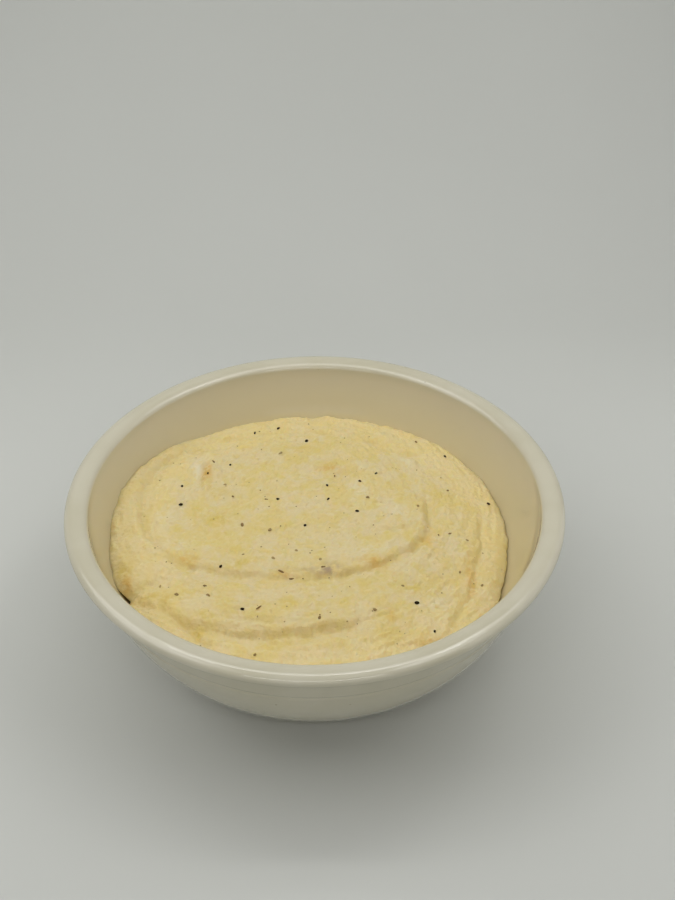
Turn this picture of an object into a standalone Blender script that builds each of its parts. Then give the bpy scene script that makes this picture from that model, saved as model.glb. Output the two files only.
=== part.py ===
"""Bowl of grits: a glazed stoneware bowl with a rolled rim, filled with spooned grits.

Metres, +Z up. The origin is on the surface that the bowl stands on, under the bowl's centre.
"""
import math
import random
from collections import namedtuple

import bmesh
import bpy
from mathutils import Matrix, Vector, noise

# ---- the bowl's driving dimensions ----
RIM_RADIUS = 0.0875
BOWL_HEIGHT = 0.066
TURNS_IN_BOWL = 64

LIP_WIDTH = 0.0082
LIP_DEPTH = 0.0038
LIP_CROWN = 0.0024
LIP_INNER_ROLL = 0.0040
LIP_OUTER_ROLL = 0.0036
LIP_UNDER_ROUND = 0.0013

# Outer wall: an ellipse below the rim, with a cove that flares up into the lip.
WALL_TOP_DROP = 0.0044
WALL_RADIUS = 0.0809
WALL_DEPTH = 0.0684
COVE_FLARE = 0.0030
COVE_REACH = 0.0045
RING_LINE_DROP = 0.0171
RING_LINE_DEPTH = 0.00035
RING_LINE_WIDTH = 0.0012

# Inner wall: an ellipse that runs out into a nearly flat floor.
HOLLOW_RADIUS = 0.0799
HOLLOW_DEPTH = 0.0700
HOLLOW_RISE = 0.0050
FLOOR_DROP = 0.0570
FLOOR_BLEND = 0.0040

FOOT_RADIUS = 0.0436
FOOT_WIDTH = 0.0042
FOOT_RECESS = 0.0046
FOOT_ROUND = 0.0007
FOOT_JOIN = 0.0008
FOOT_FLARE_SHARE = 0.6

# Where the section of the bowl is cut: radii on the inside and depths below the rim.
INNER_RADII = (0.020, 0.032, 0.040, 0.048, 0.055, 0.061, 0.066, 0.070)
INNER_DROPS = (0.022, 0.016, 0.010, 0.005)
COVE_DROPS = (LIP_DEPTH + 0.0004, 0.0060, 0.0095)
WALL_DROPS = (0.022, 0.030, 0.038, 0.045, 0.051, 0.056)

# ---- the grits' driving dimensions ----
GAP = 0.0005
TURNS_IN_GRITS = 96
RINGS_ON_TOP = 27
GRITS_LEVEL = 0.0462
DOME_HEIGHT = 0.0030
DOME_REACH = 0.080
DOME_CENTRE = Vector((-0.008, 0.018))
EDGE_ROUND = 0.0036
EDGE_ROUND_DROP = 0.0014
EDGE_SAG_REACH = 0.0320
EDGE_DROP = 0.0042
SIDE_HEIGHTS = (0.032, 0.024, 0.016, 0.011)
BASE_RADIUS = 0.020

# Where the grits stands up against the wall or has drawn away from it: the middle and half
# width in degrees, the rise of its edge and the open gap to the wall.
Bank = namedtuple("Bank", "angle spread rise gap")
BANKS = (
    Bank(angle=157.0, spread=26.0, rise=0.0048, gap=0.0),
    Bank(angle=-12.0, spread=40.0, rise=-0.0018, gap=0.0011),
    Bank(angle=-156.5, spread=4.2, rise=-0.0024, gap=0.0016),
)

# A spoon stroke leaves a crease along part of an ellipse: a rounded shoulder stands over its
# inner side, and the grits outside climbs back gently. Angles are in degrees round the ellipse.
# A side of -1 puts the shoulder outside the ellipse instead.
Fold = namedtuple("Fold", "centre half_length half_width turn start end fade "
                          "shoulder shoulder_width crease crease_width apron side")
FOLDS = (
    Fold(centre=(-0.0120, 0.0125), half_length=0.0530, half_width=0.0438, turn=-18.8,
         start=134.0, end=250.0, fade=38.0,
         shoulder=0.0011, shoulder_width=0.0060, crease=0.0014, crease_width=0.0034,
         apron=0.0055, side=-1),
    Fold(centre=(-0.0031, 0.0159), half_length=0.0611, half_width=0.0420, turn=-9.3,
         start=14.0, end=182.0, fade=45.0,
         shoulder=0.0008, shoulder_width=0.0050, crease=0.0008, crease_width=0.0026,
         apron=0.0050, side=-1),
    Fold(centre=(-0.0186, 0.0119), half_length=0.0588, half_width=0.0364, turn=-11.3,
         start=-136.0, end=-60.0, fade=28.0,
         shoulder=0.0011, shoulder_width=0.0055, crease=0.0012, crease_width=0.0024,
         apron=0.0045, side=1),
    Fold(centre=(-0.0272, 0.0099), half_length=0.0693, half_width=0.0371, turn=-2.4,
         start=-84.0, end=36.0, fade=28.0,
         shoulder=0.0013, shoulder_width=0.0055, crease=0.0012, crease_width=0.0026,
         apron=0.0045, side=1),
    Fold(centre=(-0.0081, 0.0360), half_length=0.0795, half_width=0.0880, turn=-24.0,
         start=-104.0, end=-34.0, fade=22.0,
         shoulder=0.0014, shoulder_width=0.0058, crease=0.0015, crease_width=0.0030,
         apron=0.0045, side=1),
    Fold(centre=(-0.0754, -0.0665), half_length=0.0453, half_width=0.0369, turn=-17.9,
         start=32.0, end=106.0, fade=20.0,
         shoulder=0.0009, shoulder_width=0.0048, crease=0.0013, crease_width=0.0024,
         apron=0.0036, side=-1),
    Fold(centre=(0.0159, -0.0263), half_length=0.0349, half_width=0.0766, turn=-24.4,
         start=-40.0, end=68.0, fade=45.0,
         shoulder=0.0006, shoulder_width=0.0050, crease=0.0008, crease_width=0.0020,
         apron=0.0032, side=1),
    Fold(centre=(0.0330, -0.0350), half_length=0.0190, half_width=0.0175, turn=0.0,
         start=-130.0, end=-40.0, fade=35.0,
         shoulder=0.0007, shoulder_width=0.0045, crease=0.0009, crease_width=0.0022,
         apron=0.0035, side=1),
    Fold(centre=(0.0280, 0.0075), half_length=0.0095, half_width=0.0075, turn=10.0,
         start=-170.0, end=-20.0, fade=40.0,
         shoulder=0.0006, shoulder_width=0.0032, crease=0.0007, crease_width=0.0016,
         apron=0.0026, side=1),
    Fold(centre=(-0.0360, 0.0320), half_length=0.0070, half_width=0.0120, turn=-15.0,
         start=110.0, end=260.0, fade=45.0,
         shoulder=0.0009, shoulder_width=0.0028, crease=0.0010, crease_width=0.0014,
         apron=0.0024, side=1),
)
SHOULDER_FADE = 0.014
FOLD_WANDER = 0.0013
FOLD_WANDER_SPACING = 0.013

# Low swells left by the spoon: centre, reach and height.
Swell = namedtuple("Swell", "centre reach height")
SWELLS = (
    Swell(centre=(-0.037, 0.010), reach=0.007, height=-0.0009),
    Swell(centre=(0.044, -0.028), reach=0.011, height=-0.0012),
    Swell(centre=(0.010, 0.050), reach=0.012, height=0.0008),
    Swell(centre=(-0.020, -0.034), reach=0.012, height=0.0006),
    Swell(centre=(-0.045, 0.0345), reach=0.0035, height=0.0011),
    Swell(centre=(0.074, -0.020), reach=0.034, height=-0.0026),
)
LUMP_SPACING = 0.015
LUMP_HEIGHT = 0.0007
LUMP_DETAIL = 2.3
LUMP_DETAIL_SHARE = 0.5

# ---- cracked pepper ----
PEPPER_COUNT = 44
PEPPER_SPREAD = 0.068
PEPPER_SPACING = 0.0075
PEPPER_LENGTH = (0.0011, 0.0018)
PEPPER_SQUASH = (0.70, 0.55)
PEPPER_SEED = 7
SLOPE_STEP = 0.0005

SMOOTH_ANGLE = math.radians(50.0)
UP = Vector((0.0, 0.0, 1.0))


def arc(centre, width, height, start, end, steps):
    """Points of an elliptical arc in the (radius, height) plane, angles in degrees."""
    points = []
    for step in range(steps + 1):
        angle = math.radians(start + (end - start) * step / steps)
        points.append((centre[0] + width * math.cos(angle), centre[1] + height * math.sin(angle)))
    return points


def hollow_radius(height):
    """Radius of the bowl's inner wall at a height above the table."""
    below = BOWL_HEIGHT + HOLLOW_RISE - height
    return HOLLOW_RADIUS * math.sqrt(1.0 - (below / HOLLOW_DEPTH) ** 2)


def hollow_height(radius):
    """Height of the bowl's inside at a radius: the ellipse, softened into the floor."""
    wall = BOWL_HEIGHT + HOLLOW_RISE - HOLLOW_DEPTH * math.sqrt(1.0 - (radius / HOLLOW_RADIUS) ** 2)
    floor = BOWL_HEIGHT - FLOOR_DROP
    return 0.5 * (wall + floor + math.hypot(wall - floor, FLOOR_BLEND))


def outer_radius(drop):
    """Radius of the bowl's outer wall at a depth below the rim's top."""
    below = max(drop - WALL_TOP_DROP, 0.0) / WALL_DEPTH
    flare = COVE_FLARE * math.exp(-max(drop - LIP_DEPTH, 0.0) / COVE_REACH)
    return WALL_RADIUS * math.sqrt(1.0 - below ** 2) + flare


def inner_profile():
    """The bowl's inside, from the floor's centre up to the lip."""
    points = [(0.0, hollow_height(0.0))]
    for radius in INNER_RADII:
        points.append((radius, hollow_height(radius)))
    for drop in INNER_DROPS:
        points.append((hollow_radius(BOWL_HEIGHT - drop), BOWL_HEIGHT - drop))
    return points


def lip_profile():
    """The rolled rim, from its inner edge over the top to the underside of its outer edge."""
    inner = (RIM_RADIUS - LIP_WIDTH + LIP_INNER_ROLL, BOWL_HEIGHT - LIP_CROWN)
    outer = (RIM_RADIUS - LIP_OUTER_ROLL, BOWL_HEIGHT - LIP_CROWN)
    under = (RIM_RADIUS - LIP_UNDER_ROUND, BOWL_HEIGHT - LIP_DEPTH + LIP_UNDER_ROUND)
    return (arc(inner, LIP_INNER_ROLL, LIP_CROWN, 180.0, 90.0, 3)
            + arc(outer, LIP_OUTER_ROLL, LIP_CROWN, 90.0, 0.0, 4)
            + arc(under, LIP_UNDER_ROUND, LIP_UNDER_ROUND, 0.0, -90.0, 2)[1:])


def outer_profile():
    """The outer wall under the lip, with one fine turned line, down to the foot ring."""
    points = []
    for drop in COVE_DROPS:
        points.append((outer_radius(drop), BOWL_HEIGHT - drop))
    for shift, depth in ((-1.0, 0.0), (0.0, RING_LINE_DEPTH), (1.0, 0.0)):
        drop = RING_LINE_DROP + shift * RING_LINE_WIDTH / 2.0
        points.append((outer_radius(drop) - depth, BOWL_HEIGHT - drop))
    for drop in WALL_DROPS:
        points.append((outer_radius(drop), BOWL_HEIGHT - drop))
    return points


def foot_profile():
    """The foot ring and the recess under the bowl, ending on the axis."""
    drop = BOWL_HEIGHT - FOOT_RECESS - FOOT_JOIN
    inner = FOOT_RADIUS - FOOT_WIDTH
    return [(outer_radius(drop), BOWL_HEIGHT - drop),
            (FOOT_RADIUS + FOOT_ROUND, FOOT_RECESS * FOOT_FLARE_SHARE),
            (FOOT_RADIUS, FOOT_ROUND),
            (FOOT_RADIUS - FOOT_ROUND, 0.0),
            (inner + FOOT_ROUND, 0.0),
            (inner, FOOT_ROUND),
            (inner - 2.0 * FOOT_ROUND, FOOT_RECESS - FOOT_ROUND),
            (inner - 4.0 * FOOT_ROUND, FOOT_RECESS),
            (0.0, FOOT_RECESS)]


def turned_mesh(name, profile, turns):
    """A closed solid turned round the Z axis from (radius, height) points."""
    mesh = bpy.data.meshes.new(name)
    edges = [(index, index + 1) for index in range(len(profile) - 1)]
    mesh.from_pydata([(radius, 0.0, height) for radius, height in profile], edges, [])
    lathe = bpy.data.objects.new(name, mesh)
    bpy.context.scene.collection.objects.link(lathe)
    screw = lathe.modifiers.new("Turn", "SCREW")
    screw.steps = turns
    screw.render_steps = turns
    screw.use_merge_vertices = True
    screw.merge_threshold = 0.00001
    turned = bpy.data.meshes.new_from_object(
        lathe.evaluated_get(bpy.context.evaluated_depsgraph_get()))
    bpy.data.objects.remove(lathe)
    bpy.data.meshes.remove(mesh)
    turned.name = name
    return turned


def smooth_step(value):
    """0 below 0, 1 above 1 and an even S between them."""
    value = min(max(value, 0.0), 1.0)
    return value * value * (3.0 - 2.0 * value)


def degrees_apart(first, second):
    """The unsigned angle between two directions in degrees."""
    return abs((first - second + 180.0) % 360.0 - 180.0)


def fold_height(fold, x, y):
    """How much one spoon stroke lifts or lowers the surface at a point."""
    turn = math.radians(fold.turn)
    shift_x = x - fold.centre[0]
    shift_y = y - fold.centre[1]
    along = (shift_x * math.cos(turn) + shift_y * math.sin(turn)) / fold.half_length
    across = (shift_y * math.cos(turn) - shift_x * math.sin(turn)) / fold.half_width
    reach = max(math.hypot(along, across), 0.001)
    outside = math.hypot(shift_x, shift_y) * (1.0 - 1.0 / reach)
    outside += FOLD_WANDER * noise.noise(Vector((x, y, fold.half_length)) / FOLD_WANDER_SPACING)
    outside *= fold.side
    middle = (fold.start + fold.end) / 2.0
    half_span = (fold.end - fold.start) / 2.0
    from_middle = degrees_apart(math.degrees(math.atan2(across, along)), middle)
    strength = smooth_step((half_span - from_middle) / fold.fade)
    crease_reach = fold.apron if outside > 0.0 else fold.crease_width
    from_shoulder = outside + fold.shoulder_width
    shoulder_reach = fold.shoulder_width if from_shoulder > 0.0 else SHOULDER_FADE
    crease = fold.crease * math.exp(-(outside / crease_reach) ** 2)
    shoulder = fold.shoulder * math.exp(-(from_shoulder / shoulder_reach) ** 2)
    return strength * (shoulder - crease)


def open_height(x, y):
    """Height of the grits' surface away from the wall."""
    height = GRITS_LEVEL
    height += DOME_HEIGHT * (1.0 - (Vector((x, y)) - DOME_CENTRE).length_squared / DOME_REACH ** 2)
    for fold in FOLDS:
        height += fold_height(fold, x, y)
    for swell in SWELLS:
        away = (Vector((x, y)) - Vector(swell.centre)).length / swell.reach
        height += swell.height * math.exp(-away ** 2)
    place = Vector((x, y, 0.0)) / LUMP_SPACING
    lumps = noise.noise(place) + LUMP_DETAIL_SHARE * noise.noise(place * LUMP_DETAIL)
    return height + LUMP_HEIGHT * lumps


def near_bank(bank, angle):
    """How much a bank or hollow at the wall counts in a direction, in degrees."""
    return math.exp(-(degrees_apart(angle, bank.angle) / bank.spread) ** 2)


def edge_drop(angle):
    """How far the surface rounds down to the wall in a direction."""
    return EDGE_DROP - sum(bank.rise * near_bank(bank, angle) for bank in BANKS)


def edge_gap(angle):
    """The open gap between the grits and the wall in a direction."""
    return GAP + sum(bank.gap * near_bank(bank, angle) ** 2 for bank in BANKS)


def wall_contact(angle):
    """How far out the grits' edge stands in a direction, and how far it has dropped there."""
    direction = Vector((math.cos(math.radians(angle)), math.sin(math.radians(angle))))
    rim = direction * hollow_radius(GRITS_LEVEL)
    drop = edge_drop(angle)
    return hollow_radius(open_height(rim.x, rim.y) - drop) - edge_gap(angle), drop


def edge_fall(inwards, drop):
    """How far the surface has sagged and rounded off at a distance in from the wall."""
    sag = (drop - EDGE_ROUND_DROP) * (1.0 - min(inwards / EDGE_SAG_REACH, 1.0)) ** 2
    return sag + EDGE_ROUND_DROP * (1.0 - min(inwards / EDGE_ROUND, 1.0)) ** 2


def surface_height(x, y):
    """Height of the grits' surface at any point, rounded down towards the wall."""
    reach, drop = wall_contact(math.degrees(math.atan2(y, x)))
    return open_height(x, y) - edge_fall(max(reach - math.hypot(x, y), 0.0), drop)


def build_bowl():
    """The stoneware bowl, one solid of revolution."""
    profile = inner_profile() + lip_profile() + outer_profile() + foot_profile()
    return turned_mesh("bowl", profile, TURNS_IN_BOWL)


def grits_body():
    """The grits without its pepper: turned to fit the bowl, then worked into folds on top."""
    edge = hollow_radius(GRITS_LEVEL) - GAP
    profile = [(edge * ring / RINGS_ON_TOP, BOWL_HEIGHT) for ring in range(RINGS_ON_TOP + 1)]
    for radius in [hollow_radius(height) for height in SIDE_HEIGHTS]:
        profile.append((radius - GAP, hollow_height(radius) + GAP))
    profile += [(radius, hollow_height(radius) + GAP) for radius in (BASE_RADIUS, 0.0)]
    mesh = turned_mesh("grits", profile, TURNS_IN_GRITS)
    for vertex in mesh.vertices:
        if vertex.co.z > BOWL_HEIGHT - GAP:
            reach, _ = wall_contact(math.degrees(math.atan2(vertex.co.y, vertex.co.x)))
            x = vertex.co.x * reach / edge
            y = vertex.co.y * reach / edge
            vertex.co = (x, y, surface_height(x, y))
    return mesh


def surface_normal(x, y):
    """The upward normal of the grits' surface."""
    rise_x = surface_height(x + SLOPE_STEP, y) - surface_height(x - SLOPE_STEP, y)
    rise_y = surface_height(x, y + SLOPE_STEP) - surface_height(x, y - SLOPE_STEP)
    return Vector((-rise_x, -rise_y, 2.0 * SLOPE_STEP)).normalized()


def pepper_places():
    """Seeded, evenly spread places for the pepper, clear of each other."""
    draw = random.Random(PEPPER_SEED)
    places = []
    while len(places) < PEPPER_COUNT:
        radius = PEPPER_SPREAD * math.sqrt(draw.random())
        angle = draw.uniform(0.0, math.tau)
        place = Vector((radius * math.cos(angle), radius * math.sin(angle)))
        if all((place - other).length > PEPPER_SPACING for other in places):
            places.append(place)
    return places


def build_pepper(collection):
    """Flakes of cracked pepper, each half sunk in the surface."""
    draw = random.Random(PEPPER_SEED + 1)
    for index, place in enumerate(pepper_places()):
        length = draw.uniform(*PEPPER_LENGTH)
        size = Vector((length, length * PEPPER_SQUASH[0], length * PEPPER_SQUASH[1])) / 2.0
        lie = UP.rotation_difference(surface_normal(place.x, place.y)).to_matrix().to_4x4()
        spin = Matrix.Rotation(draw.uniform(0.0, math.tau), 4, "Z")
        shape = bmesh.new()
        bmesh.ops.create_icosphere(shape, subdivisions=1, radius=1.0)
        bmesh.ops.scale(shape, vec=size, verts=shape.verts)
        centre = Matrix.Translation((place.x, place.y, surface_height(place.x, place.y)))
        bmesh.ops.transform(shape, matrix=centre @ lie @ spin, verts=shape.verts)
        mesh = bpy.data.meshes.new(f"pepper_{index + 1:02d}")
        shape.to_mesh(mesh)
        shape.free()
        flake = bpy.data.objects.new(mesh.name, mesh)
        flake.hide_render = True
        flake.display_type = "WIRE"
        collection.objects.link(flake)


def join_pepper(grits, collection):
    """Fuses the pepper onto the grits and clears the loose flakes away."""
    union = grits.modifiers.new("Pepper", "BOOLEAN")
    union.operation = "UNION"
    union.solver = "EXACT"
    union.operand_type = "COLLECTION"
    union.collection = collection
    joined = bpy.data.meshes.new_from_object(
        grits.evaluated_get(bpy.context.evaluated_depsgraph_get()))
    grits.modifiers.remove(union)
    grits.data = joined
    for flake in list(collection.objects):
        bpy.data.objects.remove(flake)
    bpy.data.collections.remove(collection)


def material(name, colour, roughness, subsurface=0.0):
    """A Principled material in one colour."""
    result = bpy.data.materials.new(name)
    result.use_nodes = True
    shader = result.node_tree.nodes["Principled BSDF"]
    shader.inputs["Base Color"].default_value = (*colour, 1.0)
    shader.inputs["Roughness"].default_value = roughness
    shader.inputs["Metallic"].default_value = 0.0
    shader.inputs["Subsurface Weight"].default_value = subsurface
    return result


def finish(name, mesh, collection, surface):
    """Puts a mesh in the model as the named part with its material, shaded smooth."""
    mesh.name = name
    mesh.materials.clear()
    mesh.materials.append(surface)
    mesh.shade_smooth()
    mesh.set_sharp_from_angle(angle=SMOOTH_ANGLE)
    part = bpy.data.objects.new(name, mesh)
    collection.objects.link(part)
    return part


def new_collection(name):
    """A collection linked to the scene."""
    collection = bpy.data.collections.new(name)
    bpy.context.scene.collection.children.link(collection)
    return collection


def main():
    for old in list(bpy.data.objects):
        bpy.data.objects.remove(old)
    model = new_collection("bowl of grits")
    pepper = new_collection("pepper")
    glaze = material("cream glaze", (0.60, 0.57, 0.46), 0.20)
    food = material("grits", (0.80, 0.66, 0.34), 0.45, subsurface=0.2)
    finish("bowl", build_bowl(), model, glaze)
    grits = finish("grits", grits_body(), model, food)
    build_pepper(pepper)
    join_pepper(grits, pepper)


main()
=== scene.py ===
"""A bowl of grits: a cream glazed stoneware bowl, spooned grits and cracked pepper.

Metres, +Z up. The bowl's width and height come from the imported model; "drop" is a depth below
its rim's top. The grits' relief repeats the solid's folds and adds the finer detail.
"""
import math
import random
from collections import namedtuple

import bmesh
import bpy
from mathutils import Matrix, Vector, noise


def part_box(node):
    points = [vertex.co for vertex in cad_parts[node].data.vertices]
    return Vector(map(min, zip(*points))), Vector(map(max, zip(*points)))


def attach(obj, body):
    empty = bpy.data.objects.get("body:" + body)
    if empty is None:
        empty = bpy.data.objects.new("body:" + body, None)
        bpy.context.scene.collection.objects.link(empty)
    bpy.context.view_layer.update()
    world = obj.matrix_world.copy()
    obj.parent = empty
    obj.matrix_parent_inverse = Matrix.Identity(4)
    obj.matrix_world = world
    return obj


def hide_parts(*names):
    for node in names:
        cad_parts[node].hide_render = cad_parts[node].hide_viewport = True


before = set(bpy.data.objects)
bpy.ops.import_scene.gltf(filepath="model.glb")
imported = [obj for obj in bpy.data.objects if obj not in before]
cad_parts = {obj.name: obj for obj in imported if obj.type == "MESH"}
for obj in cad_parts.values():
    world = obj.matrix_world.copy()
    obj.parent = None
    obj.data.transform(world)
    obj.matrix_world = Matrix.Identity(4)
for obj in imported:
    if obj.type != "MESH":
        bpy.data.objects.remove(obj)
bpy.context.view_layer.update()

# ---- the bowl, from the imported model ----
BOWL_LOW, BOWL_HIGH = (Vector(corner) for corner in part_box("bowl"))
RIM_RADIUS = (BOWL_HIGH.x - BOWL_LOW.x) / 2.0
BOWL_HEIGHT = BOWL_HIGH.z
BOWL_TURNS = 240
SHARP_ANGLE = 60.0

LIP_WIDTH = 0.0082
LIP_DEPTH = 0.0038
LIP_CROWN = 0.0024
LIP_INNER_ROLL = 0.0040
LIP_OUTER_ROLL = 0.0036
LIP_UNDER_ROUND = 0.0013

WALL_TOP_DROP = 0.0044
WALL_RADIUS = 0.0809
WALL_DEPTH = 0.0684
COVE_FLARE = 0.0030
COVE_REACH = 0.0045
RING_LINE_DROP = 0.0171
RING_LINE_DEPTH = 0.00035
RING_LINE_WIDTH = 0.0006

HOLLOW_RADIUS = 0.0799
HOLLOW_DEPTH = 0.0700
HOLLOW_RISE = 0.0050
FLOOR_DROP = 0.0570
FLOOR_BLEND = 0.0040

FOOT_RADIUS = 0.0436
FOOT_WIDTH = 0.0042
FOOT_RECESS = 0.0046
FOOT_ROUND = 0.0007
FOOT_WALL_GAP = 0.0008
# How far below the rim's top the painted reflection of the grits, partly a film of grits, fades in on the
# inner wall.
REFLECTION_AND_FILM_FADE = 0.0052
BARE_CLAY_HEIGHTS = (0.0012, 0.0007)

# Where the section is sampled: the first and last place and how many. The inside goes by
# radius up to the wall, and the walls go by drop, closest together at the turned line.
HOLLOW_SAMPLES = (0.0, 0.070, 24)
INNER_WALL_SAMPLES = (0.026, 0.005, 16)
OUTER_WALL_SAMPLES = ((LIP_DEPTH + 0.0004, 0.0145, 10), (0.0153, 0.0189, 19), (0.0200, 0.0580, 24))

# ---- the grits' surface ----
SURFACE_CELLS = 290
WALL_OVERLAP = 0.00015
SIDE_HEIGHTS = (0.034, 0.027, 0.020, 0.012)
GRITS_LEVEL = 0.0462
DOME_HEIGHT = 0.0030
DOME_REACH = 0.080
DOME_CENTRE = Vector((-0.008, 0.018))
SWIRL_CENTRE = Vector((-0.012, 0.018))
EDGE_ROUND = 0.0036
EDGE_ROUND_DROP = 0.0014
EDGE_SAG_REACH = 0.0320
EDGE_DROP = 0.0042

# Where the edge stands higher or lower on the wall, or leaves a gap beside it. Angles in degrees.
Bank = namedtuple("Bank", "angle spread rise gap")
BANKS = (
    Bank(angle=157.0, spread=26.0, rise=0.0048, gap=0.0),
    Bank(angle=-12.0, spread=40.0, rise=-0.0018, gap=0.0011),
    Bank(angle=-156.5, spread=4.2, rise=-0.0024, gap=0.0016),
)

# A spoon stroke leaves a crease along part of an ellipse: a rounded shoulder stands over its
# inner side, and the grits outside climbs back gently. Angles are in degrees round the ellipse.
# A side of -1 puts the shoulder outside the ellipse instead.
Fold = namedtuple("Fold", "centre half_length half_width turn start end fade "
                          "shoulder shoulder_width crease crease_width apron side")
FOLDS = (
    Fold(centre=(-0.0120, 0.0125), half_length=0.0530, half_width=0.0438, turn=-18.8,
         start=134.0, end=250.0, fade=38.0,
         shoulder=0.0011, shoulder_width=0.0060, crease=0.0014, crease_width=0.0034,
         apron=0.0055, side=-1),
    Fold(centre=(-0.0031, 0.0159), half_length=0.0611, half_width=0.0420, turn=-9.3,
         start=14.0, end=182.0, fade=45.0,
         shoulder=0.0008, shoulder_width=0.0050, crease=0.0008, crease_width=0.0026,
         apron=0.0050, side=-1),
    Fold(centre=(-0.0186, 0.0119), half_length=0.0588, half_width=0.0364, turn=-11.3,
         start=-136.0, end=-60.0, fade=28.0,
         shoulder=0.0011, shoulder_width=0.0055, crease=0.0012, crease_width=0.0024,
         apron=0.0045, side=1),
    Fold(centre=(-0.0272, 0.0099), half_length=0.0693, half_width=0.0371, turn=-2.4,
         start=-84.0, end=36.0, fade=28.0,
         shoulder=0.0013, shoulder_width=0.0055, crease=0.0012, crease_width=0.0026,
         apron=0.0045, side=1),
    Fold(centre=(-0.0081, 0.0360), half_length=0.0795, half_width=0.0880, turn=-24.0,
         start=-104.0, end=-34.0, fade=22.0,
         shoulder=0.0014, shoulder_width=0.0058, crease=0.0015, crease_width=0.0030,
         apron=0.0045, side=1),
    Fold(centre=(-0.0754, -0.0665), half_length=0.0453, half_width=0.0369, turn=-17.9,
         start=32.0, end=106.0, fade=20.0,
         shoulder=0.0009, shoulder_width=0.0048, crease=0.0013, crease_width=0.0024,
         apron=0.0036, side=-1),
    Fold(centre=(0.0159, -0.0263), half_length=0.0349, half_width=0.0766, turn=-24.4,
         start=-40.0, end=68.0, fade=45.0,
         shoulder=0.0006, shoulder_width=0.0050, crease=0.0008, crease_width=0.0020,
         apron=0.0032, side=1),
    Fold(centre=(0.0330, -0.0350), half_length=0.0190, half_width=0.0175, turn=0.0,
         start=-130.0, end=-40.0, fade=35.0,
         shoulder=0.0007, shoulder_width=0.0045, crease=0.0009, crease_width=0.0022,
         apron=0.0035, side=1),
    Fold(centre=(0.0280, 0.0075), half_length=0.0095, half_width=0.0075, turn=10.0,
         start=-170.0, end=-20.0, fade=40.0,
         shoulder=0.0006, shoulder_width=0.0032, crease=0.0007, crease_width=0.0016,
         apron=0.0026, side=1),
    Fold(centre=(-0.0360, 0.0320), half_length=0.0070, half_width=0.0120, turn=-15.0,
         start=110.0, end=260.0, fade=45.0,
         shoulder=0.0009, shoulder_width=0.0028, crease=0.0010, crease_width=0.0014,
         apron=0.0024, side=1),
)
SHOULDER_FADE = 0.014
FOLD_WANDER = 0.0013
FOLD_WANDER_SPACING = 0.013
FOLD_SHARPNESS = 0.60
FOLD_RELIEF = 0.80
FOLD_RAGGED = 0.0008
FOLD_RAGGED_SPACING = 0.0045
FOLD_BREAKS = 0.7
FOLD_BREAK_SPACING = 0.0075
SEAM_DEPTH = 0.0006
SEAM_WIDTH = 0.0006
DEEP_CREASE = 0.0022
MARK_UNDER_SHOULDER = 0.9
MARK_UP_APRON = 0.20

# Low swells and hollows left by the spoon.
Swell = namedtuple("Swell", "centre reach height")
SWELLS = (
    Swell(centre=(-0.037, 0.010), reach=0.007, height=-0.0009),
    Swell(centre=(0.044, -0.028), reach=0.011, height=-0.0012),
    Swell(centre=(0.010, 0.050), reach=0.012, height=0.0008),
    Swell(centre=(-0.020, -0.034), reach=0.012, height=0.0006),
    Swell(centre=(-0.0450, 0.0345), reach=0.0035, height=0.0011),
    Swell(centre=(0.0740, -0.0200), reach=0.0340, height=-0.0026),
)
LUMP_SPACING = 0.015
LUMP_HEIGHT = 0.0007

STREAK_WIDTH = 0.0024
STREAK_HEIGHT = 0.00034
STREAK_LENGTHS_ROUND = 6.0
STREAK_CALM_REACH = 0.060
CURD_SPACING = 0.0042
CURD_HEIGHT = 0.00040
CREASE_CRUMBLE = 1.6
GRAIN_SPACING = 0.0012
GRAIN_HEIGHT = 0.00042
RAGGED_SPACING = 0.0060
RAGGED_HEIGHT = 0.0008
FINE_FADE = 0.0012

# Soft-edged coloured patches, by the name of the mask that they make. The warm and yellow ones are partly
# the grits' own tint and partly painted shade down crease slopes.
Patch = namedtuple("Patch", "centre reach strength")
WARM_PATCHES = (
    Patch(centre=(0.0050, 0.0340), reach=(0.0040, 0.0030), strength=1.0),
    Patch(centre=(-0.0415, 0.0318), reach=(0.0018, 0.0055), strength=1.6),
    Patch(centre=(-0.0443, -0.0155), reach=(0.0032, 0.0018), strength=1.1),
    Patch(centre=(0.0212, -0.0165), reach=(0.0045, 0.0030), strength=0.9),
    Patch(centre=(0.0411, -0.0030), reach=(0.0024, 0.0040), strength=0.6),
    Patch(centre=(0.0258, -0.0410), reach=(0.0020, 0.0035), strength=0.6),
    Patch(centre=(-0.0110, -0.0238), reach=(0.0026, 0.0018), strength=1.0),
    Patch(centre=(-0.0655, -0.0235), reach=(0.0018, 0.0028), strength=1.2),
    Patch(centre=(0.0545, -0.0200), reach=(0.0020, 0.0085), strength=0.9),
    Patch(centre=(0.0400, -0.0520), reach=(0.0060, 0.0030), strength=0.8),
)
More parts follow.
